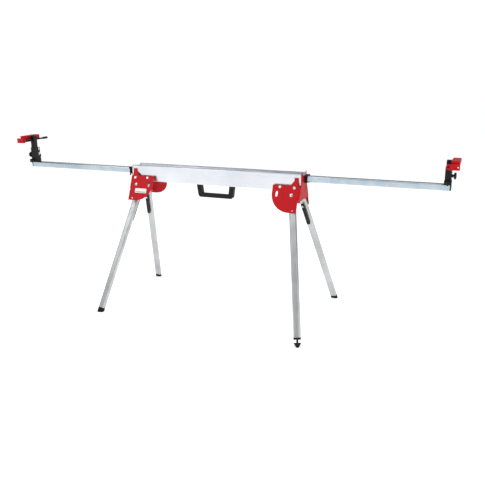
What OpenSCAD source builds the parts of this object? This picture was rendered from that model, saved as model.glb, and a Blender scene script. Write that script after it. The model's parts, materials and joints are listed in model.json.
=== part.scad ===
// Folding work stand for a mitre saw: an aluminium beam on four folding legs,
// with a sliding bar and a height-adjustable work support at each end.
// X runs along the beam, Y points to the rear, Z points up. The origin is on
// the floor under the middle of the beam. Millimetres.

/* [Beam] */
// Height of the beam's top above the floor
stand_h = 813; // [700:1:950]
// Length of the beam extrusion
beam_len = 1017; // [850:1:1300]
// Thickness of the beam's wall beside each bar
side_wall = 4.5; // [4:0.5:12]
// Thickness of the beam's wall between the two bars
mid_wall = 7; // [5:0.5:14]
// Height of the beam
beam_h = 88; // [80:1:120]
// Thickness of the beam's thin walls
beam_wall = 2.5; // [2:0.5:4]
// Width of the open slot between the top rails
rail_gap = 66; // [40:1:76]
// Depth of the slot between the top rails
rail_depth = 11; // [6:0.5:12]

/* [Extension bars] */
// Width of the bar tube
bar_w = 40; // [34:1:52]
// Height of the bar tube
bar_h = 30.5; // [24:0.5:36]
// Wall of the bar tube
bar_wall = 1.5; // [1.5:0.5:3]
// Length of the bar tube
bar_len = 930; // [700:1:960]
// Length of bar that stands out of the beam when it is fully extended
bar_out = 725; // [500:1:740]
// Depth of the bar's top below the beam's top
bar_drop = 16; // [14:0.5:20]
// Gap between the bar and its channel, each side
bar_play = 0.5; // [0.3:0.1:1]
// Thickness of the guide collar at the end of the beam
collar_t = 14; // [10:1:20]

/* [Legs] */
// Width of the leg tube, in the plane in which it folds
leg_w = 38; // [30:1:42]
// Thickness of the leg tube
leg_t = 24; // [20:1:28]
// Wall of the leg tube
leg_wall = 2; // [1.6:0.2:3]
// Angle by which the legs spread to front and rear
leg_splay = 23; // [15:0.5:28]
// Angle by which the legs lean outward along the beam
leg_lean = 10; // [4:0.5:14]
// Drop of the outer leg pivots below the beam
pivot_drop = 22; // [22:0.5:40]
// Distance from the beam's end to the leg pivots
pivot_in = 40.5; // [38:0.5:60]
// Distance between the planes in which the left and the right legs fold
leg_pitch = 31; // [26:0.5:36]
// Angle through which the left legs fold
fold_left = 96; // [90:1:98]
// Angle through which the right legs fold
fold_right = 100; // [98:1:100]
// Diameter of the leg pivot bolts
pivot_d = 10; // [8:1:12]

/* [Leg brackets] */
// Thickness of the bracket steel
plate_t = 3; // [2:0.5:4]
// Width of the plate past the lock holes, up to its round edge
plate_edge = 18; // [15:1:26]
// Height of the bracket's flat top above the pivot
plate_top = 51; // [48:1:56]
// Height above the pivot at which the bracket's ear meets the beam
ear_h = 76; // [72:1:84]
// Outer radius of the bracket's corner bends
bend_r = 14; // [12:1:16]
// Distance from the pivot to the lock holes
lock_r = 82; // [78:1:84]
// Diameter of the lock pins
lock_d = 8; // [6:0.5:9]
// Diameter of the bracket bolts
bolt_d = 8; // [6:1:10]

/* [Carry handle] */
// Width of the handle at the beam
handle_w = 230; // [180:1:260]
// Drop of the handle below the beam
handle_drop = 77; // [66:1:90]
// Thickness of the hand grip
grip_t = 22; // [18:1:26]
// Depth of the handle, front to rear
handle_d = 24; // [18:1:30]

/* [Work supports] */
// Width of the support upright, along the beam
upright_w = 30; // [28:1:34]
// Depth of the support upright, front to rear
upright_d = 45; // [42:1:52]
// Height of the support upright above its base
upright_h = 70; // [60:1:84]
// Length of the support head, front to rear
head_len = 126; // [100:1:200]
// Width of the support head
head_w = 38; // [30:1:44]
// Height of the support head's channel
head_h = 22; // [16:1:26]
// Height to which the left support is raised
left_lift = 40; // [0:1:50]
// Height to which the right support is raised
right_lift = 0; // [0:1:50]
// Diameter of the work stop's rod
rod_d = 10; // [8:0.5:12]

/* [Hidden] */
$fn = 64;
RUN = 0.05; // radial clearance of a running fit
FREE = 0.5; // clearance between pieces that only pass each other
SNUG = 0.1; // clearance of a piece that is fixed inside another
EPS = 0.01;

RED = "#c8141e";
BLACK = "#1c1c1e";
ALLOY = "#c3c7ca";
ZINC = "#b4bfca";
STEEL = "#d0d0cc";

// Heights
beam_z = stand_h - beam_h;
bar_top = stand_h - bar_drop;
bar_mid = bar_top - bar_h / 2;
pivot_z = beam_z - pivot_drop;

// Beam profile, measured down from the beam's top
chan_w = bar_w + 2 * bar_play;
bar_off = (chan_w + mid_wall) / 2; // distance from the beam's middle to a bar's middle
beam_w = 2 * (chan_w + side_wall) + mid_wall;
chan_h = bar_h + 2 * bar_play;
hollow_top = bar_drop + bar_h + bar_play + beam_wall;
beam_corner = 3;
line_z = 17; // middle of the long groove in the beam's sides
line_h = 3;
line_d = 1.2;

// Bracket, in the frame of a corner: x outward along the beam, y out through
// the plate, z up the plate, from the pivot's middle in the outer leg's plane
leg_gap = 1; // between the outer leg and the plate
pivot_x = beam_len / 2 - pivot_in;
plate_y = leg_t / 2 + leg_gap;
beam_gap = 0.5; // between the beam and the bracket's sheet
pivot_y = beam_w / 2 + beam_gap + ear_h * sin(leg_splay) - plate_y * cos(leg_splay);
web_x = beam_len / 2 + beam_gap; // inner face of the web
bend_x = web_x + plate_t - bend_r - pivot_x; // where the flat plate ends
bend_y = plate_y + plate_t - bend_r;
plate_r = lock_r + plate_edge;
arc_x = -8; // middle of the round corner
arc_z = 7;
foot_x = bend_x + 7; // outer edge of the plate below the web
ear_x = 6; // inner edge of the ear's top
notch_x = -12;
web_low = -27;
web_high = plate_top - 1;
tab_h = 17; // height of the upright tab on the beam's side
web_top = stand_h - 10;
stop_h = 20; // height of the two stop ears above the web
stop_w = 9;
stop_y = 33;
bolt_at = [[11, plate_top - 12], [-68, plate_top - 10]]; // bracket bolts
fold_slot_d = 12; // slot for the lock pin of a folded leg
fold_slot_more = 8; // angle by which the slot runs on past the folded leg
wedge_w = 20;
wedge_low = plate_top - 23;
wedge_high = plate_top - 2;
bolt_head_d = 15;
bolt_head_t = 5;
pivot_head_d = 18;
nut_t = 7;

// Legs, in the frame of a leg: z up the leg, y out through the plate
leg_r = min(10, leg_t / 2 - 2); // corner radius of the leg's section
leg_top = 8; // length of tube above the pivot
plug_in = 30; // length of the plug below the pivot
flute_w = 3;
flute_d = 0.7;
flute_x = 8;
boss_d = pivot_d + 4;
foot_len = 24; // black foot, along the leg
foot_in = 25; // length of the foot's plug inside the leg
pad_gap = 15; // bare stud between the levelling pad and the leg's plug
pad_plug_t = 11;
pad_len = 22;
pad_d = 36;
stud_d = 10;
stud_in = 40;

// Lock lever, on the leg's inner face
hinge_z = lock_r + 36; // distance from the pivot to the lever's hinge
hinge_out = 9; // from the leg's face to the hinge
hinge_d = 4;
lever_w = 17;
lever_t = 3; // thickness of the lever's back and sides
lever_back = 16; // from the leg's face to the lever's outer face
lever_top = 12; // length of lever past the lock pin
lever_end = hinge_z + 87;
lever_leg_gap = 7; // under the lever's ends
mount_t = 2;
mount_len = 26;
mount_ear_t = 2.5;
mount_ear_x = 2.5;
neck_d = 5;
pin_head_d = 11;
pin_head_t = 3;
pin_gap = 0.7; // between the pin's shoulders and the lever
pin_short = 0.5; // between the pin's tip and the plate

// Arm lock on the collar
collar_rim = 4.5;
collar_side = bar_w / 2 + collar_rim;
lug_out = 10;
lug_h = 12;
lug_t = 3;
arm_pin_d = 4;
arm_lever_t = 6;
arm_lever_len = 42;

// Carry handle
handle_arm = 28;
handle_taper = 12;
handle_corner = 8;
screw_x = handle_w / 2 - handle_arm / 2;
screw_y = 7; // clear of the beam's middle wall
screw_d = 6;
screw_in = 22;
screw_head_d = 9;

// Work supports, in the frame of a support: x outward, from the bar's top
cap_x = 12; // bar's end, from the middle of the upright
support_x = web_x + plate_t + bar_out - cap_x; // middle of the upright
base_h = 18;
base_w = upright_w + 4;
base_d = upright_d + 5;
cap_in = 26; // length of the cap's plug inside the bar
boss_out = 5; // boss of the clamp screw, past the base
upright_t = 2.5;
post_w = upright_w - 2 * upright_t - 2 * FREE;
post_d = 29;
post_wall = 2;
post_len = 97;
guide_t = 2;
guide_w = 3;
window_w = 8;
windows = [[20, 37], [52, upright_h - 4]]; // in the upright's sides, above the base
head_t = 3;
post_top = 3; // depth of the post's closed top below the head's top
knob_z = 42;
knob_y = -7;
knob_d = 34;
knob_t = 14;
knob_boss_d = 16;
knob_boss_t = 6;
knob_stud_d = 8;
rod_z = -25;
rod_gap = 2; // between the rod and the upright's top
head_low = base_h + upright_h + rod_gap + rod_d / 2 - rod_z; // lowest head top, above the bar
rod_out = 55; // length of rod past the head's far end
rod_front = 26; // length of rod past the head's near end
sleeve_d = 18; // thick part of the rod, in front of the post
sleeve_gap = 4;
rod_x = post_w / 2 - sleeve_d / 2 - 1;
tip_d = 14;
tip_len = 36;
stop_hub_d = 24;
stop_t = 5;
stop_len = 52;
stop_plate_h = 28;
stop_hole_d = 6;
clamp_boss_d = 16;
clamp_d = 6;
clamp_z = 10;
clamp_knob_d = 26;
clamp_knob_t = 18;
wing_len = 30;

function mirrored(side) = side < 0 ? 1 : 0;
// Drop of a leg's own pivot below the outer one
function leg_back(side) = side < 0 ? leg_pitch : 0;
function leg_pivot_z(side) = pivot_z - leg_back(side) * sin(leg_splay);
function leg_len(side) = leg_pivot_z(side) / cos(leg_lean) / cos(leg_splay);
// Beam's side plane in the frame of a corner, at a height z up the plate
function beam_side(z) = (z * sin(leg_splay) - pivot_y + beam_w / 2) / cos(leg_splay);
function lift(side) = side < 0 ? left_lift : right_lift;

// ---- Frames ----

// A corner of the stand: side is -1 left or 1 right, face is -1 front or 1 rear
module corner(side, face) {
    mirror([mirrored(side), 0, 0]) mirror([0, mirrored(face), 0])
        translate([pivot_x, pivot_y, pivot_z]) rotate([leg_splay, 0, 0]) children();
}

// A leg's own frame, with its pivot at the origin and its foot down -Z
module leg_frame(side, face) {
    corner(side, face) translate([0, -leg_back(side), 0]) rotate([0, -leg_lean, 0]) children();
}

module each_corner() {
    for (side = [-1, 1], face = [-1, 1]) corner(side, face) children();
}

// A work support, from the top of its bar
module support(side) {
    translate([0, side * bar_off, bar_top]) mirror([mirrored(side), 0, 0])
        translate([support_x, 0, 0]) children();
}

// The moving head of a support, from the top of the head
module head_frame(side) {
    support(side) translate([0, 0, head_low + lift(side)]) children();
}

// ---- Shapes ----

// Rectangle with true arcs at its corners
module round_rect(w, h, r) {
    square([w - 2 * r, h], center = true);
    square([w, h - 2 * r], center = true);
    for (x = [-1, 1], y = [-1, 1]) translate([x * (w / 2 - r), y * (h / 2 - r)]) circle(r);
}

// Cylinder along Y from y0 to y1
module y_cyl(d, y0, y1) {
    translate([0, y0, 0]) rotate([-90, 0, 0]) cylinder(d = d, h = y1 - y0);
}

// Cylinder along X from x0 to x1
module x_cyl(d, x0, x1) {
    translate([x0, 0, 0]) rotate([0, 90, 0]) cylinder(d = d, h = x1 - x0);
}

// A YZ outline extruded along X from x0 to x1
module along_x(x0, x1) {
    translate([x0, 0, 0]) rotate([90, 0, 90]) linear_extrude(x1 - x0) children();
}

// An XZ outline extruded along Y from y0 to y1
module along_y(y0, y1) {
    translate([0, y1, 0]) rotate([90, 0, 0]) linear_extrude(y1 - y0) children();
}

// Star knob with its bore side on z = 0
module star(d, t, lobes) {
    lobe_d = d * 0.3;
    linear_extrude(t) {
        circle(d = d - lobe_d);
        for (i = [0:lobes - 1]) rotate(i * 360 / lobes)
            translate([(d - lobe_d) / 2, 0]) circle(d = lobe_d);
    }
}

// ---- Beam ----

module beam_profile() {
    difference() {
        translate([0, -beam_h / 2]) round_rect(beam_w, beam_h, beam_corner);
        translate([-rail_gap / 2, -rail_depth]) square([rail_gap, rail_depth + 1]);
        for (side = [-1, 1]) {
            translate([side * bar_off - chan_w / 2, -bar_drop - bar_h - bar_play])
                square([chan_w, chan_h]);
            hollow = beam_w / 2 - 1.5 * beam_wall;
            translate([side > 0 ? beam_wall / 2 : -beam_wall / 2 - hollow, -beam_h + beam_wall])
                square([hollow, beam_h - beam_wall - hollow_top]);
            translate([side * beam_w / 2, -line_z]) square([2 * line_d, line_h], center = true);
        }
    }
}

module beam() {
    color(ALLOY) difference() {
        translate([0, 0, stand_h]) along_x(-beam_len / 2, beam_len / 2) beam_profile();
        each_corner() for (at = bolt_at) translate([at[0], 0, at[1]])
            y_cyl(bolt_d + 2 * SNUG, beam_side(at[1]) - 3 * beam_wall, beam_side(at[1]) + bolt_d);
        for (side = [-1, 1]) translate([side * screw_x, side * screw_y, beam_z - 1])
            cylinder(d = screw_d + 2 * SNUG, h = beam_wall + 2);
    }
}

// ---- Leg brackets ----

module plate_outline() {
    low = arc_z - plate_r;
    difference() {
        polygon([
            [arc_x - plate_r, low], [arc_x - plate_r, plate_top], [notch_x, plate_top],
            [ear_x, ear_h], [bend_x, ear_h], [bend_x, web_low], [foot_x, web_low - 10],
            [foot_x, low]
        ]);
        difference() {
            translate([arc_x - plate_r - 1, low - 1]) square(plate_r + 1);
            translate([arc_x, arc_z]) circle(plate_r);
        }
    }
}

module plate_holes() {
    circle(d = pivot_d + 2 * SNUG);
    for (at = bolt_at) translate(at) circle(d = bolt_d + 2 * SNUG);
    rotate(leg_lean) translate([0, -lock_r]) circle(d = lock_d + 2 * FREE);
    half = (fold_right + fold_slot_more - fold_left) / 2;
    rotate(leg_lean - fold_left - half) translate([0, -lock_r * cos(half)]) {
        square([2 * lock_r * sin(half), fold_slot_d], center = true);
        for (x = [-lock_r, lock_r]) translate([x * sin(half), 0]) circle(d = fold_slot_d);
    }
}

module bracket_side(face) {
    corner(1, face) {
        along_y(plate_y, plate_y + plate_t) difference() {
            plate_outline();
            plate_holes();
        }
        translate([bend_x, bend_y, web_low]) linear_extrude(web_high - web_low) {
            difference() {
                intersection() {
                    circle(bend_r);
                    square(bend_r);
                }
                circle(bend_r - plate_t);
            }
            translate([bend_r - plate_t, -plate_t]) square(plate_t);
        }
    }
    tab_z = pivot_z + plate_y * sin(leg_splay) + ear_h * cos(leg_splay);
    mirror([0, mirrored(face), 0])
        translate([pivot_x + ear_x + 1, beam_w / 2 + 1.5 * beam_gap, tab_z - 1])
        cube([bend_x - ear_x - 2, plate_t - SNUG, tab_h + 1]);
}

// Between a corner's frame and the stand's, in the plane across the beam
function from_corner(y, z) = [
    pivot_y + y * cos(leg_splay) - z * sin(leg_splay),
    pivot_z + y * sin(leg_splay) + z * cos(leg_splay)
];
function to_corner(at) = [
    (at[0] - pivot_y) * cos(leg_splay) + (at[1] - pivot_z) * sin(leg_splay),
    (at[1] - pivot_z) * cos(leg_splay) - (at[0] - pivot_y) * sin(leg_splay)
];

// One side of the end web's edge, from the bottom up
web_side = [
    from_corner(bend_y - 1, web_low - 2), from_corner(bend_y - 1, web_low),
    from_corner(bend_y - 2, web_high - 2),
    [from_corner(bend_y - 2, web_high - 2)[0], web_top]
];
// Stop ears on top of the right web
web_ear = [
    [stop_y + stop_w / 2, web_top], [stop_y + stop_w / 2, web_top + stop_h],
    [stop_y - stop_w / 2, web_top + stop_h], [stop_y - stop_w / 2, web_top]
];

module bracket_web(bar_side) {
    edge = bar_side > 0 ? concat(web_side, web_ear) : web_side;
    last = len(edge) - 1;
    difference() {
        corner(1, 1) along_x(web_x - pivot_x, web_x - pivot_x + plate_t) polygon(concat(
            [for (at = edge) to_corner(at)],
            [for (i = [last:-1:0]) to_corner([-edge[i][0], edge[i][1]])]
        ));
        translate([0, bar_side * bar_off, bar_mid]) along_x(web_x - 1, web_x + plate_t + 1)
            square([bar_w + 4 * bar_play, bar_h + 4 * bar_play], center = true);
    }
}

module bracket(side) {
    color(RED) mirror([mirrored(side), 0, 0]) {
        for (face = [-1, 1]) bracket_side(face);
        bracket_web(side);
    }
}

// Tapered blocks that carry the bolts from the leaning plate to the beam
module bracket_wedges() {
    color(BLACK) each_corner() for (at = bolt_at) difference() {
        along_x(at[0] - wedge_w / 2, at[0] + wedge_w / 2) polygon([
            [plate_y, wedge_low], [plate_y, wedge_high],
            [beam_side(wedge_high), wedge_high], [beam_side(wedge_low), wedge_low]
        ]);
        translate([at[0], 0, at[1]]) y_cyl(bolt_d + 2 * SNUG, beam_side(at[1]) - 20, plate_y + 1);
    }
}

module bracket_bolts() {
    color(STEEL) each_corner() for (at = bolt_at) translate([at[0], 0, at[1]]) {
        y_cyl(bolt_d, beam_side(at[1]) - 2.5 * beam_wall, plate_y + plate_t + 1);
        y_cyl(bolt_head_d, plate_y + plate_t, plate_y + plate_t + bolt_head_t);
    }
}

// ---- Leg pivots ----

module pivot_frames() {
    for (side = [-1, 1], face = [-1, 1])
        corner(side, face) translate([0, -leg_back(side), 0]) {
            $back = leg_back(side);
            children();
        }
}

module leg_pivot_bolts() {
    color(STEEL) pivot_frames() {
        face_y = plate_y + plate_t + $back;
        y_cyl(pivot_d, -leg_t / 2 - FREE - nut_t - 1, face_y + 1);
        y_cyl(pivot_head_d, face_y, face_y + bolt_head_t);
    }
}

module leg_pivot_nuts() {
    color(STEEL) pivot_frames() difference() {
        translate([0, -leg_t / 2 - FREE, 0]) rotate([90, 0, 0])
            cylinder(d = pivot_d * 1.9, h = nut_t, $fn = 6);
        y_cyl(pivot_d, -leg_t, leg_t);
    }
}

module leg_spacers() {
    color(STEEL) pivot_frames() difference() {
        y_cyl(pivot_head_d, leg_t / 2 + FREE, plate_y + $back);
        y_cyl(pivot_d + 2 * SNUG, 0, 2 * plate_y + $back);
    }
}

// ---- Legs ----

module leg_section() {
    difference() {
        round_rect(leg_w, leg_t, leg_r);
        for (x = [-flute_x, 0, flute_x], face = [-1, 1])
            translate([x, face * leg_t / 2]) square([flute_w, 2 * flute_d], center = true);
    }
}

module leg_hollow() {
    round_rect(leg_w - 2 * leg_wall, leg_t - 2 * leg_wall, leg_r - leg_wall);
}

// Length from the pivot to the end of the leg's tube
function tube_len(side, face) =
    leg_len(side) - (side > 0 && face < 0 ? pad_len + pad_gap + pad_plug_t : foot_len);

module leg(side, face) {
    length = tube_len(side, face);
    color(ALLOY) leg_frame(side, face) difference() {
        translate([0, 0, -length]) linear_extrude(length + leg_top) difference() {
            leg_section();
            leg_hollow();
        }
        y_cyl(boss_d + 2 * SNUG, -leg_t, leg_t);
        translate([0, 0, -lock_r]) y_cyl(lock_d + 2 * FREE, -leg_t, leg_t);
    }
}

// Plug in the top of a leg, bored for the pivot bolt
module leg_plug(side, face) {
    color(BLACK) leg_frame(side, face) difference() {
        union() {
            translate([0, 0, -plug_in]) linear_extrude(plug_in + leg_top)
                round_rect(leg_w - 2 * leg_wall - 2 * SNUG, leg_t - 2 * leg_wall - 2 * SNUG,
                    leg_r - leg_wall - SNUG);
            y_cyl(boss_d, -leg_t / 2, leg_t / 2);
            intersection() {
                translate([0, 0, leg_top]) linear_extrude(leg_w) round_rect(leg_w, leg_t, leg_r);
                y_cyl(leg_w, -leg_t, leg_t);
            }
        }
        y_cyl(pivot_d + 2 * RUN, -leg_t, leg_t);
    }
}

module leg_foot(side, face) {
    length = tube_len(side, face);
    color(BLACK) difference() {
        leg_frame(side, face) {
            translate([0, 0, -length - 2 * foot_len]) linear_extrude(2 * foot_len)
                round_rect(leg_w, leg_t, leg_r);
            translate([0, 0, -length - EPS]) linear_extrude(foot_in)
                round_rect(leg_w - 2 * leg_wall - 2 * SNUG, leg_t - 2 * leg_wall - 2 * SNUG,
                    leg_r - leg_wall - SNUG);
        }
        translate([-2 * beam_len, -beam_len, -beam_len]) cube([4 * beam_len, 2 * beam_len, beam_len]);
    }
}

module foot_plug() {
    length = tube_len(1, -1);
    color(BLACK) leg_frame(1, -1) difference() {
        union() {
            translate([0, 0, -length - pad_plug_t]) linear_extrude(pad_plug_t)
                round_rect(leg_w, leg_t, leg_r);
            translate([0, 0, -length - EPS]) linear_extrude(foot_in)
                round_rect(leg_w - 2 * leg_wall - 2 * SNUG, leg_t - 2 * leg_wall - 2 * SNUG,
                    leg_r - leg_wall - SNUG);
        }
        translate([0, 0, -length - 2 * pad_plug_t]) cylinder(d = stud_d + 2 * RUN, h = leg_len(1));
    }
}

// Screwed foot of the front right leg: a stud and a tapered pad
module levelling_foot() {
    length = tube_len(1, -1) + pad_plug_t + pad_gap;
    color(BLACK) difference() {
        leg_frame(1, -1) translate([0, 0, -length]) {
            translate([0, 0, -1]) cylinder(d = stud_d, h = pad_gap + stud_in + 1);
            translate([0, 0, -4]) cylinder(d = pad_d, h = 4);
            translate([0, 0, -pad_len - 10]) cylinder(d1 = pad_d / 8, d2 = pad_d, h = pad_len + 6);
        }
        translate([-2 * beam_len, -beam_len, -beam_len]) cube([4 * beam_len, 2 * beam_len, beam_len]);
    }
}

// ---- Leg locks ----

// Hinge bracket on the leg's inner face, with the hinge pin pressed into it
module lever_mount(side, face) {
    face_y = -leg_t / 2;
    color(STEEL) leg_frame(side, face) translate([0, face_y, -hinge_z]) {
        translate([-lever_w / 2, -mount_t, -mount_len / 2]) cube([lever_w, mount_t, mount_len]);
        for (x = [-mount_ear_x - mount_ear_t, mount_ear_x]) {
            translate([x, -hinge_out, -4]) cube([mount_ear_t, hinge_out, 8]);
            translate([0, -hinge_out, 0]) x_cyl(8, x, x + mount_ear_t);
        }
        translate([0, -hinge_out, 0]) x_cyl(hinge_d, -lever_w / 2, lever_w / 2);
    }
}

module lock_lever(side, face) {
    z_top = -lock_r + lever_top;
    color(BLACK) leg_frame(side, face) translate([0, -leg_t / 2, 0]) difference() {
        along_x(-lever_w / 2, lever_w / 2) polygon([
            [-lever_back, z_top - 4], [-lever_back + 4, z_top], [-lever_leg_gap - 1, z_top],
            [-lever_leg_gap - 1, -lock_r - 13], [-hinge_out + 5, -hinge_z + 8],
            [-hinge_out + 5, -hinge_z - 10], [-lever_leg_gap, -hinge_z - 30],
            [-lever_leg_gap, -lever_end], [-lever_back + 3, -lever_end],
            [-lever_back, -lever_end + 3]
        ]);
        translate([-lever_w / 2 + lever_t - 0.5, -lever_back + lever_t, -lever_end + lever_t])
            cube([lever_w - 2 * lever_t + 1, lever_back, lever_end + z_top - 2 * lever_t]);
        translate([0, -hinge_out, -hinge_z]) x_cyl(hinge_d + 2 * RUN, -lever_w, lever_w);
        translate([0, 0, -lock_r]) y_cyl(neck_d + 2, -2 * lever_back, 0);
    }
}

module lock_pin(side, face) {
    back_y = -leg_t / 2 - lever_back;
    color(STEEL) leg_frame(side, face) translate([0, 0, -lock_r]) {
        y_cyl(lock_d, back_y + lever_t + pin_gap, plate_y + leg_back(side) - pin_short);
        y_cyl(neck_d, back_y - pin_gap - 1, back_y + lever_t + pin_gap + 1);
        y_cyl(pin_head_d, back_y - pin_gap - pin_head_t, back_y - pin_gap);
    }
}

// ---- Collars and arm locks ----

// The collar's frame: the bar's middle, at the web's outer face
module collar_frame(side) {
    translate([0, side * bar_off, bar_mid]) mirror([mirrored(side), 0, 0])
        mirror([0, mirrored(side), 0]) translate([web_x + plate_t, 0, 0]) children();
}

module bar_collar(side) {
    lug_z = bar_h / 2;
    color(BLACK) collar_frame(side) difference() {
        union() {
            along_x(0, collar_t) round_rect(2 * collar_side, bar_h + 2 * collar_rim, 4);
            for (x = [0, collar_t - lug_t]) {
                along_x(x, x + lug_t) translate([collar_side - 2, lug_z - lug_h / 2])
                    square([lug_out - lug_h / 2 + 2, lug_h]);
                translate([0, collar_side + lug_out - lug_h / 2, lug_z]) x_cyl(lug_h, x, x + lug_t);
            }
        }
        along_x(-1, collar_t + 1)
            round_rect(bar_w + 2 * bar_play, bar_h + 2 * bar_play, 4);
        translate([0, collar_side + lug_out - lug_h / 2, lug_z])
            x_cyl(arm_pin_d + 2 * SNUG, -1, collar_t + 1);
    }
}

module arm_lever_pins() {
    color(STEEL) for (side = [-1, 1]) collar_frame(side)
        translate([0, collar_side + lug_out - lug_h / 2, bar_h / 2]) x_cyl(arm_pin_d, FREE, collar_t);
}

module arm_lever(side) {
    x0 = lug_t + FREE;
    x1 = collar_t - lug_t - FREE;
    color(BLACK) collar_frame(side)
        translate([0, collar_side + lug_out - lug_h / 2, bar_h / 2]) difference() {
            union() {
                x_cyl(arm_lever_t + 1, x0, x1);
                along_x(x0, x1) polygon([
                    [-arm_lever_t / 2 + 1, 0], [arm_lever_t / 2, 0],
                    [arm_lever_t / 2 + 3, -arm_lever_len], [-arm_lever_t / 2 + 4, -arm_lever_len]
                ]);
            }
            x_cyl(arm_pin_d + 2 * RUN, -1, collar_t + 1);
        }
}

// ---- Carry handle ----

module carry_handle() {
    outer = handle_w / 2;
    color(BLACK) difference() {
        translate([0, 0, beam_z]) along_y(-handle_d / 2, handle_d / 2) difference() {
            polygon([
                [-outer, 0], [outer, 0], [outer - handle_taper + 2, -handle_drop + handle_corner],
                [outer - handle_taper - handle_corner, -handle_drop],
                [-outer + handle_taper + handle_corner, -handle_drop],
                [-outer + handle_taper - 2, -handle_drop + handle_corner]
            ]);
            polygon([
                [-outer + handle_arm, 1], [outer - handle_arm, 1],
                [outer - handle_arm - handle_taper + 4, -handle_drop + grip_t],
                [-outer + handle_arm + handle_taper - 4, -handle_drop + grip_t]
            ]);
        }
        for (side = [-1, 1]) translate([side * screw_x, side * screw_y, beam_z - screw_in - 1])
            cylinder(d = screw_d + 2 * SNUG, h = screw_in + 2);
    }
}

module handle_screws() {
    color(STEEL) for (side = [-1, 1]) translate([side * screw_x, side * screw_y, beam_z]) {
        translate([0, 0, -screw_in]) cylinder(d = screw_d, h = screw_in + beam_wall + 1);
        translate([0, 0, beam_wall]) cylinder(d = screw_head_d, h = screw_d / 2);
    }
}

// ---- Extension bars ----

module bar(side) {
    end_x = web_x + plate_t + bar_out;
    color(ZINC) translate([0, side * bar_off, bar_mid]) mirror([mirrored(side), 0, 0])
        along_x(end_x - bar_len, end_x) difference() {
            round_rect(bar_w, bar_h, 4);
            round_rect(bar_w - 2 * bar_wall, bar_h - 2 * bar_wall, 2);
        }
}

// Black casting on the bar's end: cap, plug and the seat of the upright
module support_base(side) {
    color(BLACK) support(side) difference() {
        union() {
            translate([-base_w / 2, -base_d / 2, 0]) cube([base_w, base_d, base_h]);
            translate([0, 0, -bar_h / 2]) {
                along_x(cap_x, base_w / 2) round_rect(bar_w, bar_h, 4);
                along_x(cap_x - cap_in, cap_x + EPS) round_rect(bar_w - 2 * bar_wall - 2 * SNUG,
                    bar_h - 2 * bar_wall - 2 * SNUG, 2);
            }
            translate([0, 0, clamp_z])
                y_cyl(clamp_boss_d, -base_d / 2 - boss_out, base_d / 2 + boss_out);
        }
        translate([0, 0, clamp_z]) y_cyl(clamp_d + 2 * RUN, -base_d, base_d);
    }
}

module upright(side) {
    z1 = base_h + upright_h;
    color(BLACK) support(side) difference() {
        union() {
            translate([0, 0, base_h]) linear_extrude(upright_h) {
                translate([-upright_w / 2, -upright_d / 2]) square([upright_w, upright_t]);
                for (x = [-upright_w / 2, upright_w / 2 - upright_t])
                    translate([x, -upright_d / 2]) square([upright_t, upright_d]);
                for (x = [-upright_w / 2 + upright_t, upright_w / 2 - upright_t - guide_w])
                    translate([x, -upright_d / 2 + upright_t + post_d + 2 * FREE])
                        square([guide_w, guide_t]);
            }
            translate([0, knob_y, knob_z])
                x_cyl(knob_boss_d, upright_w / 2 - 1, upright_w / 2 + knob_boss_t);
        }
        translate([0, knob_y, knob_z]) x_cyl(knob_stud_d + 2 * RUN, 0, upright_w);
        for (edge = windows)
            translate([-upright_w, upright_d / 2 - 3 - window_w, base_h + edge[0]])
                cube([2 * upright_w, window_w, edge[1] - edge[0]]);
    }
}

// Two-ended clamp screw through the base: a lobed knob in front, a wing behind
module clamp_knob(side) {
    front = -base_d / 2 - boss_out - FREE;
    back = base_d / 2 + boss_out + FREE;
    color(BLACK) support(side) translate([0, 0, clamp_z]) {
        y_cyl(clamp_d, front - 1, back + 1);
        translate([0, front, 0]) rotate([90, 0, 0]) star(clamp_knob_d, clamp_knob_t, 5);
        y_cyl(12, back, back + 8);
        translate([-5, back, 0]) along_x(0, 10) polygon([
            [0, -5], [8, -5], [14, wing_len - 3], [12, wing_len], [8, wing_len], [0, 5]
        ]);
    }
}

module height_knob(side) {
    x0 = upright_w / 2 + knob_boss_t + 2;
    color(BLACK) support(side) translate([0, knob_y, knob_z]) {
        x_cyl(knob_stud_d, post_w / 2 + 2 * FREE - 0.1, x0 + knob_t - 2);
        translate([x0, 0, 0]) rotate([0, 90, 0]) star(knob_d, knob_t, 6);
    }
}

// ---- Moving part of the supports ----

module post(side) {
    y0 = -upright_d / 2 + upright_t + FREE;
    color(BLACK) head_frame(side) difference() {
        translate([-post_w / 2, y0, -post_top - post_len]) cube([post_w, post_d, post_len]);
        translate([-post_w / 2 + post_wall, y0 + post_wall, -post_top - post_len - 1])
            cube([post_w - 2 * post_wall, post_d - 2 * post_wall, post_len + 1 - 2 * post_wall]);
        translate([rod_x, 0, rod_z]) y_cyl(rod_d + 2 * RUN, -upright_d, upright_d);
    }
}

// Channel beside the post, closed at both ends
module support_head(side) {
    color(RED) head_frame(side) translate([post_w / 2, 0, -head_h]) difference() {
        translate([0, -head_len / 2, 0]) cube([head_w, head_len, head_h]);
        translate([head_t, -head_len / 2 + head_t, -1])
            cube([head_w - 2 * head_t, head_len - 2 * head_t, head_h - head_t + 1]);
    }
}

// The rod turns in the post
module stop_rod(side) {
    post_front = -upright_d / 2 + upright_t + FREE;
    front = -head_len / 2 - rod_front;
    color(BLACK) head_frame(side) translate([rod_x, 0, rod_z]) {
        y_cyl(rod_d, front - 2, head_len / 2 + rod_out - 2);
        y_cyl(sleeve_d, front + stop_t, post_front - sleeve_gap);
        y_cyl(tip_d, head_len / 2 + rod_out - tip_len, head_len / 2 + rod_out);
    }
}

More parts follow.
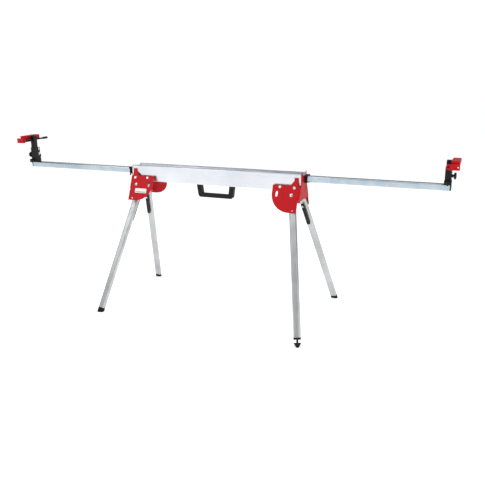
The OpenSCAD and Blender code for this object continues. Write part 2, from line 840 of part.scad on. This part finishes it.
module work_stop(side) {
    front = -head_len / 2 - rod_front;
    color(RED) head_frame(side) translate([rod_x, 0, rod_z]) difference() {
        union() {
            y_cyl(stop_hub_d, front, front + stop_t);
            along_y(front, front + stop_t)
                translate([0, -stop_plate_h / 2]) square([stop_len, stop_plate_h]);
        }
        y_cyl(rod_d, front - stop_t, 0);
        translate([stop_len - 1.5 * stop_hole_d, 0, 0])
            y_cyl(stop_hole_d, front - stop_t, front + 2 * stop_t);
    }
}

beam();
bracket(-1);  // left_bracket
bracket(1);  // right_bracket
bracket_wedges();
bracket_bolts();
leg_pivot_bolts();
leg_pivot_nuts();
leg_spacers();
bar_collar(-1);  // left_bar_collar
bar_collar(1);  // right_bar_collar
carry_handle();
handle_screws();
arm_lever_pins();
arm_lever(-1);  // left_arm_lever
arm_lever(1);  // right_arm_lever
leg(-1, -1);  // front_left_leg
leg(-1, 1);  // rear_left_leg
leg(1, -1);  // front_right_leg
leg(1, 1);  // rear_right_leg
leg_plug(-1, -1);  // front_left_leg_plug
leg_plug(-1, 1);  // rear_left_leg_plug
leg_plug(1, -1);  // front_right_leg_plug
leg_plug(1, 1);  // rear_right_leg_plug
leg_foot(-1, -1);  // front_left_foot
leg_foot(-1, 1);  // rear_left_foot
foot_plug();  // front_right_foot_plug
leg_foot(1, 1);  // rear_right_foot
levelling_foot();
lever_mount(-1, -1);  // front_left_lever_mount
lever_mount(-1, 1);  // rear_left_lever_mount
lever_mount(1, -1);  // front_right_lever_mount
lever_mount(1, 1);  // rear_right_lever_mount
lock_lever(-1, -1);  // front_left_lock_lever
lock_lever(-1, 1);  // rear_left_lock_lever
lock_lever(1, -1);  // front_right_lock_lever
lock_lever(1, 1);  // rear_right_lock_lever
lock_pin(-1, -1);  // front_left_lock_pin
lock_pin(-1, 1);  // rear_left_lock_pin
lock_pin(1, -1);  // front_right_lock_pin
lock_pin(1, 1);  // rear_right_lock_pin
bar(-1);  // left_bar
bar(1);  // right_bar
support_base(-1);  // left_support_base
support_base(1);  // right_support_base
upright(-1);  // left_upright
upright(1);  // right_upright
clamp_knob(-1);  // left_clamp_knob
clamp_knob(1);  // right_clamp_knob
height_knob(-1);  // left_height_knob
height_knob(1);  // right_height_knob
post(-1);  // left_post
post(1);  // right_post
support_head(-1);  // left_support_head
support_head(1);  // right_support_head
stop_rod(-1);  // left_stop_rod
stop_rod(1);  // right_stop_rod
work_stop(-1);  // left_work_stop
work_stop(1);  // right_work_stop
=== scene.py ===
# Folding mitre saw stand: finishes, small hardware, moulded pieces, light and camera,
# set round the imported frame.
import json
import math
import bpy
import bmesh
from mathutils import Matrix, Vector


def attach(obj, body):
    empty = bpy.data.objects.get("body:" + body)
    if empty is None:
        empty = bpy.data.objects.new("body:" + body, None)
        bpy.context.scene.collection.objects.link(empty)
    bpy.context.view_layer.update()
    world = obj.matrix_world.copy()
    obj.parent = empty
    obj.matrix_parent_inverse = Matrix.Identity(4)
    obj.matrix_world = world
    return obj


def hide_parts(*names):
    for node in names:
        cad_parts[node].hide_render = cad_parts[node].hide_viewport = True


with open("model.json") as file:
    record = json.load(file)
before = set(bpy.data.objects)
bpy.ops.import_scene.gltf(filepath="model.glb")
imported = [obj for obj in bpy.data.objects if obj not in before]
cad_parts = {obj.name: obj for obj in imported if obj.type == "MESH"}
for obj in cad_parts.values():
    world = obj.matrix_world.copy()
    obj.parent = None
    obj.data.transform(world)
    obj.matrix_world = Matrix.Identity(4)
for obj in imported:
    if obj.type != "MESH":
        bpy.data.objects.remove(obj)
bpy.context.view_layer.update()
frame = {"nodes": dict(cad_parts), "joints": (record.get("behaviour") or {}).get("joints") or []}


def hexToLinear(code):
    values = []
    for i in (0, 2, 4):
        c = int(code[i:i + 2], 16) / 255
        values.append(c / 12.92 if c <= 0.04045 else ((c + 0.055) / 1.055) ** 2.4)
    return (*values, 1.0)


def addNode(tree, kind, settings=None, links=None):
    node = tree.nodes.new(kind)
    for key, value in (settings or {}).items():
        setattr(node, key, value)
    for key, value in (links or {}).items():
        if isinstance(value, bpy.types.NodeSocket):
            tree.links.new(value, node.inputs[key])
        else:
            node.inputs[key].default_value = value
    return node


def startMaterial(name):
    mat = bpy.data.materials.new(name)
    mat.use_nodes = True
    tree = mat.node_tree
    place = addNode(tree, "ShaderNodeTexCoord").outputs["Object"]
    return mat, tree, tree.nodes["Principled BSDF"], place


def mixTones(tree, share, deep, bright):
    tones = {0: share, 6: hexToLinear(deep), 7: hexToLinear(bright)}
    return addNode(tree, "ShaderNodeMix", {"data_type": "RGBA"}, tones).outputs[2]


def roughnessRange(tree, value, low, high, look):
    span = {"Value": value, "From Min": low, "From Max": high}
    span.update({"To Min": look["roughLow"], "To Max": look["roughHigh"]})
    return addNode(tree, "ShaderNodeMapRange", links=span).outputs["Result"]


def skinBump(tree, height, strength):
    links = {"Height": height, "Strength": strength, "Distance": bumpHeight}
    return addNode(tree, "ShaderNodeBump", links=links).outputs["Normal"]


def connect(tree, shader, sockets):
    for name, socket in sockets.items():
        tree.links.new(socket, shader.inputs[name])


bumpHeight = 0.0001


# Powder coat: sprayed, then baked. Soft gloss with a fine orange-peel skin, and dull rubbed patches.
def powderCoat(name, look):
    mat, tree, shader, place = startMaterial(name)
    peel = addNode(tree, "ShaderNodeTexNoise",
                   links={"Vector": place, "Scale": 1 / look["peelSize"], "Detail": 2})
    patch = addNode(tree, "ShaderNodeTexNoise",
                    links={"Vector": place, "Scale": 1 / look["patchSize"], "Detail": 5, "Roughness": 0.6})
    tone = mixTones(tree, patch.outputs["Fac"], look["deep"], look["bright"])
    gloss = roughnessRange(tree, patch.outputs["Fac"], 0.35, 0.7, look)
    bump = skinBump(tree, peel.outputs["Fac"], look["peelDepth"])
    connect(tree, shader, {"Base Color": tone, "Roughness": gloss, "Normal": bump})
    shader.inputs["IOR"].default_value = 1.5
    shader.inputs["Specular IOR Level"].default_value = look["shine"]
    return mat


# Extruded aluminium, etched and clear anodised: a satin metal with fine die lines along its length.
def extrudedAluminium(name, look, turn=(0, 0, 0)):
    mat, tree, shader, place = startMaterial(name)
    line = addNode(tree, "ShaderNodeMapping", {"vector_type": "TEXTURE"},
                   {"Vector": place, "Rotation": turn, "Scale": look["lineSize"]})
    die = addNode(tree, "ShaderNodeTexNoise",
                  links={"Vector": line.outputs["Vector"], "Scale": 1, "Detail": 3, "Roughness": 0.7})
    bloom = addNode(tree, "ShaderNodeTexNoise",
                    links={"Vector": place, "Scale": 1 / look["bloomSize"], "Detail": 4})
    etch = addNode(tree, "ShaderNodeTexNoise",
                   links={"Vector": place, "Scale": 1 / look["etchSize"], "Detail": 1})
    blend = addNode(tree, "ShaderNodeMath", {"operation": "MULTIPLY_ADD"},
                    {0: die.outputs["Fac"], 1: 0.6, 2: bloom.outputs["Fac"]})
    share = addNode(tree, "ShaderNodeMapRange",
                    links={"Value": blend.outputs[0], "From Min": 0.5, "From Max": 1.1})
    tone = mixTones(tree, share.outputs["Result"], look["deep"], look["bright"])
    gloss = roughnessRange(tree, die.outputs["Fac"], 0.3, 0.7, look)
    height = addNode(tree, "ShaderNodeMath", {"operation": "MULTIPLY_ADD"},
                     {0: etch.outputs["Fac"], 1: 0.3, 2: die.outputs["Fac"]})
    bump = skinBump(tree, height.outputs[0], look["lineDepth"])
    connect(tree, shader, {"Base Color": tone, "Roughness": gloss, "Normal": bump})
    shader.inputs["Metallic"].default_value = 1
    return mat


# Zinc plate on steel: bright, slightly blue, with a faint warm cloud where the passivation
# is thicker.
def zincPlate(name, look):
    mat, tree, shader, place = startMaterial(name)
    cloud = addNode(tree, "ShaderNodeTexNoise",
                    links={"Vector": place, "Scale": 1 / look["cloudSize"], "Detail": 4, "Distortion": 0.6})
    grain = addNode(tree, "ShaderNodeTexNoise",
                    links={"Vector": place, "Scale": 1 / look["grainSize"], "Detail": 2})
    share = addNode(tree, "ShaderNodeMapRange",
                    links={"Value": cloud.outputs["Fac"], "From Min": 0.35, "From Max": 0.65})
    tone = mixTones(tree, share.outputs["Result"], look["blue"], look["warm"])
    gloss = roughnessRange(tree, grain.outputs["Fac"], 0.3, 0.7, look)
    bump = skinBump(tree, grain.outputs["Fac"], look["grainDepth"])
    connect(tree, shader, {"Base Color": tone, "Roughness": gloss, "Normal": bump})
    shader.inputs["Metallic"].default_value = 1
    return mat


# Glass-filled nylon or rubber, moulded: a spark-eroded skin, a little paler where dust lies.
def moulded(name, look):
    mat, tree, shader, place = startMaterial(name)
    skin = addNode(tree, "ShaderNodeTexVoronoi", {"feature": "SMOOTH_F1"},
                   {"Vector": place, "Scale": 1 / look["skinSize"], "Smoothness": 0.6})
    dust = addNode(tree, "ShaderNodeTexNoise",
                   links={"Vector": place, "Scale": 1 / look["dustSize"], "Detail": 6, "Roughness": 0.65})
    share = addNode(tree, "ShaderNodeMapRange",
                    links={"Value": dust.outputs["Fac"], "From Min": 0.4, "From Max": 0.75})
    tone = mixTones(tree, share.outputs["Result"], look["deep"], look["dusty"])
    gloss = roughnessRange(tree, dust.outputs["Fac"], 0.35, 0.7, look)
    bump = skinBump(tree, skin.outputs["Distance"], look["skinDepth"])
    connect(tree, shader, {"Base Color": tone, "Roughness": gloss, "Normal": bump})
    shader.inputs["IOR"].default_value = look["ior"]
    shader.inputs["Specular IOR Level"].default_value = look["shine"]
    return mat


redCoat = powderCoat("redPowderCoatSteel", {
    "deep": "ac0410", "bright": "c00816", "roughLow": 0.42, "roughHigh": 0.55,
    "peelSize": 0.0016, "peelDepth": 0.25, "patchSize": 0.06, "shine": 0.2})
blackCoat = powderCoat("blackPowderCoatSteel", {
    "deep": "0b0b0c", "bright": "141416", "roughLow": 0.36, "roughHigh": 0.5,
    "peelSize": 0.0014, "peelDepth": 0.3, "patchSize": 0.05, "shine": 0.22})
beamMetal = extrudedAluminium("anodisedBeamAluminium", {
    "deep": "ccd1d8", "bright": "e6e9ed", "roughLow": 0.24, "roughHigh": 0.36,
    "lineSize": (0.5, 0.0009, 0.0009), "lineDepth": 0.22, "bloomSize": 0.18, "etchSize": 0.0012})
legLook = {
    "deep": "a7a9ab", "bright": "cfd1d2", "roughLow": 0.34, "roughHigh": 0.48,
    "lineSize": (0.0009, 0.0009, 0.4), "lineDepth": 0.25, "bloomSize": 0.12, "etchSize": 0.0012}
barMetal = zincPlate("brightZincTube", {
    "blue": "a9b9c6", "warm": "bcc6cd", "roughLow": 0.14, "roughHigh": 0.24,
    "cloudSize": 0.07, "grainSize": 0.0011, "grainDepth": 0.12})
boltMetal = zincPlate("brightZincFasteners", {
    "blue": "c3c8cc", "warm": "dad8cc", "roughLow": 0.22, "roughHigh": 0.36,
    "cloudSize": 0.012, "grainSize": 0.0008, "grainDepth": 0.12})
nylon = moulded("mouldedBlackNylon", {
    "deep": "0b0c0d", "dusty": "18191b", "roughLow": 0.42, "roughHigh": 0.58,
    "skinSize": 0.0012, "skinDepth": 0.3, "dustSize": 0.035, "ior": 1.53, "shine": 0.22})
rubber = moulded("mouldedBlackRubber", {
    "deep": "0a0a0b", "dusty": "1f1e20", "roughLow": 0.66, "roughHigh": 0.85,
    "skinSize": 0.0015, "skinDepth": 0.35, "dustSize": 0.02, "ior": 1.52, "shine": 0.25})
print("materials made")

# the corners' frames, as in the CAD, in metres
stand = {"splay": math.radians(23), "lean": math.radians(10), "legPitch": 0.031}
corners = [(s, f) for s in (-1, 1) for f in (-1, 1)]
sideName = {-1: "left", 1: "right"}
faceName = {-1: "front", 1: "rear"}
jointAt = {j["name"]: j.get("pos_m") for j in frame["joints"]}


def bodyName(side, face, what):
    return f"{faceName[face]}_{sideName[side]}_{what}"


def cornerFrame(side, face):
    # the pivot in the right legs' plane; x outward, y out through the plate, z up the plate
    x, y, z = jointAt[bodyName(1, 1, "leg_fold")]
    mirror = Matrix.Diagonal((side, face, 1, 1))
    return mirror @ Matrix.Translation((x, y, z)) @ Matrix.Rotation(stand["splay"], 4, "X")


def legFrame(side, face):
    back = stand["legPitch"] if side < 0 else 0
    lean = Matrix.Rotation(-stand["lean"], 4, "Y")
    return cornerFrame(side, face) @ Matrix.Translation((0, -back, 0)) @ lean


legMetal = {}
for side, face in corners:
    turn = legFrame(side, face)
    if turn.determinant() < 0:
        turn = turn @ Matrix.Diagonal((-1, 1, 1, 1))
    finishName = f"anodisedLegAluminium_{bodyName(side, face, 'leg')}"
    legMetal[side, face] = extrudedAluminium(finishName, legLook, turn.to_euler())

finish = {
    "beam": beamMetal, "left_bracket": redCoat, "right_bracket": redCoat,
    "bracket_wedges": nylon, "bracket_bolts": boltMetal,
    "leg_pivot_bolts": boltMetal, "leg_pivot_nuts": boltMetal, "leg_spacers": boltMetal,
    "left_bar_collar": nylon, "right_bar_collar": nylon,
    "carry_handle": nylon, "handle_screws": boltMetal,
    "arm_lever_pins": boltMetal, "left_arm_lever": nylon, "right_arm_lever": nylon,
    "levelling_foot": rubber,
}
cornerFinish = {"leg_plug": nylon, "foot": rubber, "foot_plug": nylon, "lever_mount": boltMetal,
                "lock_lever": nylon, "lock_pin": boltMetal}
supportFinish = {"bar": barMetal, "support_base": nylon, "upright": blackCoat, "clamp_knob": nylon,
                 "height_knob": nylon, "post": blackCoat, "support_head": redCoat,
                 "stop_rod": blackCoat, "work_stop": redCoat}
for side, face in corners:
    finish[bodyName(side, face, "leg")] = legMetal[side, face]
    finish.update({bodyName(side, face, what): mat for what, mat in cornerFinish.items()})
for label in sideName.values():
    finish.update({f"{label}_{what}": mat for what, mat in supportFinish.items()})

# each CAD piece's edges are rounded a little, the grip's more
edgeWidth = {"usual": 0.0006, "beam": 0.0005, "carry_handle": 0.005, "left_bracket": 0.0007,
             "right_bracket": 0.0007}
softEdge = {"segments": 2, "angle": math.radians(32), "weld": 2e-6}
for name, node in frame["nodes"].items():
    node.data.materials.clear()
    node.data.materials.append(finish[name])
    weld = node.modifiers.new("weld", "WELD")
    weld.merge_threshold = softEdge["weld"]
    bevel = node.modifiers.new("softEdge", "BEVEL")
    bevel.width = edgeWidth.get(name, edgeWidth["usual"])
    bevel.segments = softEdge["segments"]
    bevel.limit_method = "ANGLE"
    bevel.angle_limit = softEdge["angle"]
    bevel.harden_normals = False
print("finishes on the frame")


def circleOutline(radius, count=48):
    angles = [2 * math.pi * i / count for i in range(count)]
    return [(radius * math.cos(a), radius * math.sin(a)) for a in angles]


def lobedOutline(radius, depth, lobes, count=96):
    points = []
    for i in range(count):
        a = 2 * math.pi * i / count
        reach = radius - depth * (1 - math.cos(lobes * a)) / 2
        points.append((reach * math.cos(a), reach * math.sin(a)))
    return points


def hexOutline(across, count=48):
    # six flats, points spread evenly so that round and hexagonal rings join
    points = []
    for i in range(count):
        a = 2 * math.pi * i / count
        fold = (a + math.pi / 6) % (math.pi / 3) - math.pi / 6
        reach = across / 2 / math.cos(fold)
        points.append((reach * math.cos(a), reach * math.sin(a)))
    return points


def roundRectOutline(width, height, radius, steps=6):
    points = []
    for cx, cy, start in ((1, 1, 0), (-1, 1, 90), (-1, -1, 180), (1, -1, 270)):
        for k in range(steps + 1):
            a = math.radians(start + 90 * k / steps)
            x = cx * (width / 2 - radius) + radius * math.cos(a)
            y = cy * (height / 2 - radius) + radius * math.sin(a)
            points.append((x, y))
    return points


sharpAngle = math.radians(38)


def buildPiece(name, lofts, places, mat, body, replaced=()):
    # each loft is a stack of rings with equal counts, closed at both ends
    mesh = bmesh.new()
    for place in places:
        for rings in lofts:
            rows = [[mesh.verts.new(place @ Vector(point)) for point in ring] for ring in rings]
            for near, far in zip(rows, rows[1:]):
                for i in range(len(near)):
                    j = (i + 1) % len(near)
                    mesh.faces.new((near[i], near[j], far[j], far[i]))
            mesh.faces.new(rows[0][::-1])
            mesh.faces.new(rows[-1])
    bmesh.ops.recalc_face_normals(mesh, faces=mesh.faces)
    data = bpy.data.meshes.new(name)
    mesh.to_mesh(data)
    mesh.free()
    data.polygons.foreach_set("use_smooth", [True] * len(data.polygons))
    data.set_sharp_from_angle(angle=sharpAngle)
    piece = bpy.data.objects.new(name, data)
    bpy.context.scene.collection.objects.link(piece)
    data.materials.append(mat)
    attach(piece, body)
    if replaced:
        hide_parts(*replaced)
    return piece


def stack(profile, outlineFor):
    # profile rows: place along z, then what the outline needs
    return [[(x, y, row[0]) for x, y in outlineFor(*row[1:])] for row in profile]


def placed(lofts, place):
    return [[[place @ Vector(point) for point in ring] for ring in loft] for loft in lofts]


# knob rows: place along the axis, radius, depth of the lobes; wing rows: height, middle,
# width and half thickness
heightKnob = {
    "lobes": 6, "start": 0.003, "stud": 0.004, "studInside": -0.007, "studInKnob": 0.002,
    "rows": [(0, 0.009, 0), (0.0025, 0.009, 0), (0.0032, 0.0145, 0.0016), (0.005, 0.0166, 0.003),
             (0.0105, 0.017, 0.0032), (0.0128, 0.0158, 0.0026), (0.0138, 0.0135, 0.0014),
             (0.0136, 0.0085, 0), (0.014, 0.008, 0), (0.014, 0.0055, 0)]}
clampKnob = {
    "lobes": 5, "front": 0.0305, "screw": 0.003, "overlap": 0.001,
    "rows": [(0, 0.0065, 0), (0.003, 0.0065, 0), (0.0045, 0.0112, 0.0016), (0.007, 0.0128, 0.0028),
             (0.0145, 0.013, 0.003), (0.0168, 0.0118, 0.0022), (0.018, 0.0092, 0.001),
             (0.0176, 0.0055, 0), (0.018, 0.005, 0)]}
clampWing = {
    "hub": 0.006, "hubEnd": 0.0052, "hubBevel": 0.001, "hubLong": 0.008, "cornerShare": 0.9,
    "rows": [(-0.006, 0.0046, 0.010, 0.0040), (0.004, 0.0048, 0.010, 0.0043),
             (0.012, 0.0070, 0.009, 0.0035), (0.022, 0.0100, 0.009, 0.0024),
             (0.028, 0.0112, 0.0085, 0.0020), (0.030, 0.0112, 0.0060, 0.0014)]}


def lobedKnob(knob, start):
    rows = [(start + z, radius, depth) for z, radius, depth in knob["rows"]]
    return stack(rows, lambda radius, depth: lobedOutline(radius, depth, knob["lobes"]))


def addHeightKnob(side):
    label, knob = sideName[side], heightKnob
    turn = Matrix.Rotation(side * math.pi / 2, 4, "Y")
    outward = Matrix.Translation(jointAt[f"{label}_height_turn"]) @ turn
    ends = (knob["studInside"], knob["start"] + knob["studInKnob"])
    stud = stack([(z, knob["stud"]) for z in ends], circleOutline)
    buildPiece(f"{label}HeightKnobMoulding", [lobedKnob(knob, knob["start"]), stud], [outward],
               nylon, f"{label}_height_knob", [f"{label}_height_knob"])


def clampWingLoft(front):
    loft = []
    for z, mid, wide, thick in clampWing["rows"]:
        corner = clampWing["cornerShare"] * min(wide / 2, thick)
        loft.append([(x, front + mid + y, z) for x, y in roundRectOutline(wide, 2 * thick, corner)])
    return loft


def addClampKnob(side):
    label, front = sideName[side], clampKnob["front"]
    past = front + clampKnob["overlap"]
    screw = stack([(-past, clampKnob["screw"]), (past, clampKnob["screw"])], circleOutline)
    hubStart = -front - clampWing["hubLong"]
    hub = stack([(hubStart, clampWing["hubEnd"]), (hubStart + clampWing["hubBevel"], clampWing["hub"]),
                 (-front, clampWing["hub"])], circleOutline)
    turned = placed([lobedKnob(clampKnob, front), screw, hub], Matrix.Rotation(math.pi / 2, 4, "X"))
    buildPiece(f"{label}ClampKnobMoulding", [*turned, clampWingLoft(front)],
               [Matrix.Translation(jointAt[f"{label}_clamp_turn"])],
               nylon, f"{label}_clamp_knob", [f"{label}_clamp_knob"])


# flanged hexagon heads, pressed from zinc-plated steel: place along the bolt, radius or width
# across the flats
bolt = {
    "plateFace": 0.016, "shank": 0.004, "inside": -0.006, "overlap": 0.001,
    "at": [(0.011, 0.039), (-0.068, 0.041)],
    "rows": [("round", 0, 0.0075), ("round", 0.0010, 0.0075), ("round", 0.0016, 0.0064),
             ("hex", 0.0017, 0.0113), ("hex", 0.0044, 0.0113), ("round", 0.0050, 0.0050)]}
pivotBolt = {
    "shank": 0.005, "inner": -0.0205, "bevel": 0.0008, "bevelLong": 0.001,
    "rows": [("round", 0, 0.009), ("round", 0.0012, 0.009), ("round", 0.0018, 0.0078),
             ("hex", 0.0019, 0.0142), ("hex", 0.0044, 0.0142), ("round", 0.0050, 0.0063)]}


def headRings(rows, face):
    outline = {"round": circleOutline, "hex": hexOutline}
    return [[(x, y, face + z) for x, y in outline[kind](size)] for kind, z, size in rows]


def addBolts():
    zToPlate = Matrix.Rotation(-math.pi / 2, 4, "X")
    head = headRings(bolt["rows"], bolt["plateFace"])
    pivotHead = headRings(pivotBolt["rows"], bolt["plateFace"])
    inHead = bolt["plateFace"] + bolt["overlap"]
    shank = stack([(bolt["inside"], bolt["shank"]), (inHead, bolt["shank"])], circleOutline)
    places, pivotLofts = [], []
    for side, face in corners:
        base = cornerFrame(side, face)
        places += [base @ Matrix.Translation((x, 0, z)) @ zToPlate for x, z in bolt["at"]]
        end = pivotBolt["inner"] - (stand["legPitch"] if side < 0 else 0)
        rod = stack([(end, pivotBolt["shank"] - pivotBolt["bevel"]),
                     (end + pivotBolt["bevelLong"], pivotBolt["shank"]),
                     (inHead, pivotBolt["shank"])], circleOutline)
        pivotLofts += placed([pivotHead, rod], base @ zToPlate)
    buildPiece("bracketBoltSet", [head, shank], places,
               boltMetal, "frame", ["bracket_bolts"])
    buildPiece("legPivotBoltSet", pivotLofts, [Matrix.Identity(4)],
               boltMetal, "frame", ["leg_pivot_bolts"])


# slip-on rubber boots, their soles cut level with the floor. Rows: height above the floor and
# inset; the two deep runs of inset are grip lines round the boot.
boot = {
    "wide": 0.038, "thick": 0.024, "corner": 0.0095, "tall": 0.024, "rim": 0.001, "rimInset": 0.0009,
    "rows": [(0, 0.0012), (0.0012, 0), (0.0035, 0), (0.0037, 0.0012), (0.0051, 0.0012), (0.0053, 0),
             (0.0075, 0), (0.0077, 0.0012), (0.0091, 0.0012), (0.0093, 0), (0.013, 0)]}


def bootOutline(inset):
    wide, thick = boot["wide"] - 2 * inset, boot["thick"] - 2 * inset
    return roundRectOutline(wide, thick, boot["corner"] - inset)


def addBoots():
    for side, face in corners:
        if (side, face) == (1, -1):
            continue  # the levelling foot is here
        place = legFrame(side, face)
        down = place.to_3x3() @ Vector((0, 0, -1))
        rings = []
        for height, inset in boot["rows"]:
            starts = [place @ Vector((x, y, 0)) for x, y in bootOutline(inset)]
            rings.append([start + down * ((start.z - height * -down.z) / -down.z) for start in starts])
        rim = boot["tall"] - place.translation.z / -down.z
        for z, inset in ((rim - boot["rim"], 0), (rim, boot["rimInset"])):
            rings.append([place @ Vector((x, y, z)) for x, y in bootOutline(inset)])
        name = bodyName(side, face, "foot")
        buildPiece(f"{name}Boot", [rings], [Matrix.Identity(4)],
                   rubber, bodyName(side, face, "leg"), [name])


# printed polyester film, laminated: a flat, slightly glossy skin with faint unevenness in the ink
def printedFilm(name, look):
    mat, tree, shader, place = startMaterial(name)
    ink = addNode(tree, "ShaderNodeTexNoise",
                  links={"Vector": place, "Scale": 1 / look["inkSize"], "Detail": 3})
    tone = mixTones(tree, ink.outputs["Fac"], look["deep"], look["bright"])
    gloss = roughnessRange(tree, ink.outputs["Fac"], 0, 1, look)
    connect(tree, shader, {"Base Color": tone, "Roughness": gloss})
    shader.inputs["IOR"].default_value = 1.57
    return mat


# a blank label on the front left plate: each patch a little proud of the last
filmLook = {"inkSize": 0.004, "roughLow": 0.28, "roughHigh": 0.42}
plateLabel = {
    "sunk": 0.0002, "edge": 0.0002, "edgeStart": 0.7,
    "patches": {
        "labelField": {"at": (-0.036, -0.036), "size": (0.074, 0.026), "corner": 0.0040,
                       "proud": 0.00012, "film": "paleLabelFilm", "deep": "e4e2de", "bright": "f3f1ee"},
        "labelBand": {"at": (-0.036, -0.043), "size": (0.066, 0.005), "corner": 0.0010,
                      "proud": 0.00020, "film": "greyLabelFilm", "deep": "8d9094", "bright": "a0a3a7"}}}


def addLabel():
    place = cornerFrame(-1, -1)
    for name, patch in plateLabel["patches"].items():
        (x0, z0), (wide, tall), proud = patch["at"], patch["size"], patch["proud"]
        rows = [(-plateLabel["sunk"], 0), (proud * plateLabel["edgeStart"], 0), (proud, plateLabel["edge"])]
        rings = []
        for y, edgeIn in rows:
            outline = roundRectOutline(wide - edgeIn, tall - edgeIn, patch["corner"])
            rings.append([(x0 + x, bolt["plateFace"] + y, z0 + z) for x, z in outline])
        film = printedFilm(patch["film"], {**filmLook, **patch})
        buildPiece(name, [rings], [place], film, "frame")


for side in sideName:
    addHeightKnob(side)
    addClampKnob(side)
addBolts()
addBoots()
addLabel()
print("knobs, bolts, boots and label made")

floorLook = {"deep": "f4f4f4", "bright": "fbfbfb", "specks": 60, "glow": 0.42, "size": 40,
             "height": -0.0005}


def paleFloor():
    mat, tree, shader, place = startMaterial("matteStudioFloor")
    speck = addNode(tree, "ShaderNodeTexNoise",
                    links={"Vector": place, "Scale": floorLook["specks"], "Detail": 3})
    tone = mixTones(tree, speck.outputs["Fac"], floorLook["deep"], floorLook["bright"])
    connect(tree, shader, {"Base Color": tone})
    shader.inputs["Roughness"].default_value = 0.7
    # a lit sweep table: the faint glow carries the floor into the white of the room
    shader.inputs["Emission Color"].default_value = (1, 1, 1, 1)
    shader.inputs["Emission Strength"].default_value = floorLook["glow"]
    bpy.ops.mesh.primitive_plane_add(size=floorLook["size"], location=(0, 0, floorLook["height"]))
    floor = bpy.context.object
    floor.name = "studioFloor"
    floor.data.materials.append(mat)


lights = {
    "key": {"at": (-2.6, -3.6, 3.6), "size": 3.0, "power": 74},
    "fill": {"at": (3.6, -2.6, 2.2), "size": 2.6, "power": 32},
    "top": {"at": (0.4, 1.2, 3.8), "size": 3.4, "power": 34},
}
litPoint = Vector((0, 0, 0.55))


def addLights():
    for name, light in lights.items():
        lamp = bpy.data.lights.new(name, "AREA")
        lamp.size = light["size"]
        lamp.energy = light["power"]
        holder = bpy.data.objects.new(name, lamp)
        bpy.context.scene.collection.objects.link(holder)
        holder.location = light["at"]
        aim = litPoint - Vector(light["at"])
        holder.rotation_euler = aim.to_track_quat("-Z", "Y").to_euler()


# a white cove low down, greyer walls above it, and a soft ceiling
room = {"floorGlow": 1.02, "bandLow": 0.11, "bandHigh": 0.19, "wall": 0.1,
        "ceilingLow": 0.42, "ceilingHigh": 0.85, "ceiling": 1.0}


def easedRamp(tree, value, start, end, low, high):
    span = {"Value": value, "From Min": start, "From Max": end, "To Min": low, "To Max": high}
    eased = {"interpolation_type": "SMOOTHSTEP"}
    return addNode(tree, "ShaderNodeMapRange", eased, span).outputs["Result"]


def addRoom():
    world = bpy.data.worlds.new("softWhiteRoom")
    bpy.context.scene.world = world
    world.use_nodes = True
    tree = world.node_tree
    way = addNode(tree, "ShaderNodeTexCoord").outputs["Generated"]
    rise = addNode(tree, "ShaderNodeSeparateXYZ", links={0: way}).outputs["Z"]
    wall = easedRamp(tree, rise, room["bandLow"], room["bandHigh"], room["floorGlow"], room["wall"])
    gain = room["ceiling"] - room["wall"]
    ceiling = easedRamp(tree, rise, room["ceilingLow"], room["ceilingHigh"], 0, gain)
    glow = addNode(tree, "ShaderNodeMath", {"operation": "ADD"}, {0: wall, 1: ceiling})
    background = tree.nodes["Background"]
    background.inputs["Color"].default_value = (1, 1, 1, 1)
    tree.links.new(glow.outputs[0], background.inputs["Strength"])


view = {"turn": 0.4, "rise": 0.283, "roll": -0.012, "distance": 3.438,
        "target": (0.156, 0, 0.401), "lens": 45.37, "sensor": 36}


def addCamera():
    turn, rise, roll = view["turn"], view["rise"], view["roll"]
    back = Vector((math.sin(turn) * math.cos(rise), -math.cos(turn) * math.cos(rise), math.sin(rise)))
    right = Vector((math.cos(turn), math.sin(turn), 0))
    up = back.cross(right)
    across = right * math.cos(roll) + up * math.sin(roll)
    above = up * math.cos(roll) - right * math.sin(roll)
    camera = bpy.data.cameras.new("camera")
    camera.lens = view["lens"]
    camera.sensor_width = view["sensor"]
    holder = bpy.data.objects.new("camera", camera)
    bpy.context.scene.collection.objects.link(holder)
    place = Matrix.Translation(Vector(view["target"]) + back * view["distance"])
    holder.matrix_world = place @ Matrix((across, above, back)).transposed().to_4x4()
    bpy.context.scene.camera = holder


paleFloor()
addLights()
addRoom()
addCamera()
bpy.context.scene.view_settings.view_transform = "Standard"
print("studio ready")
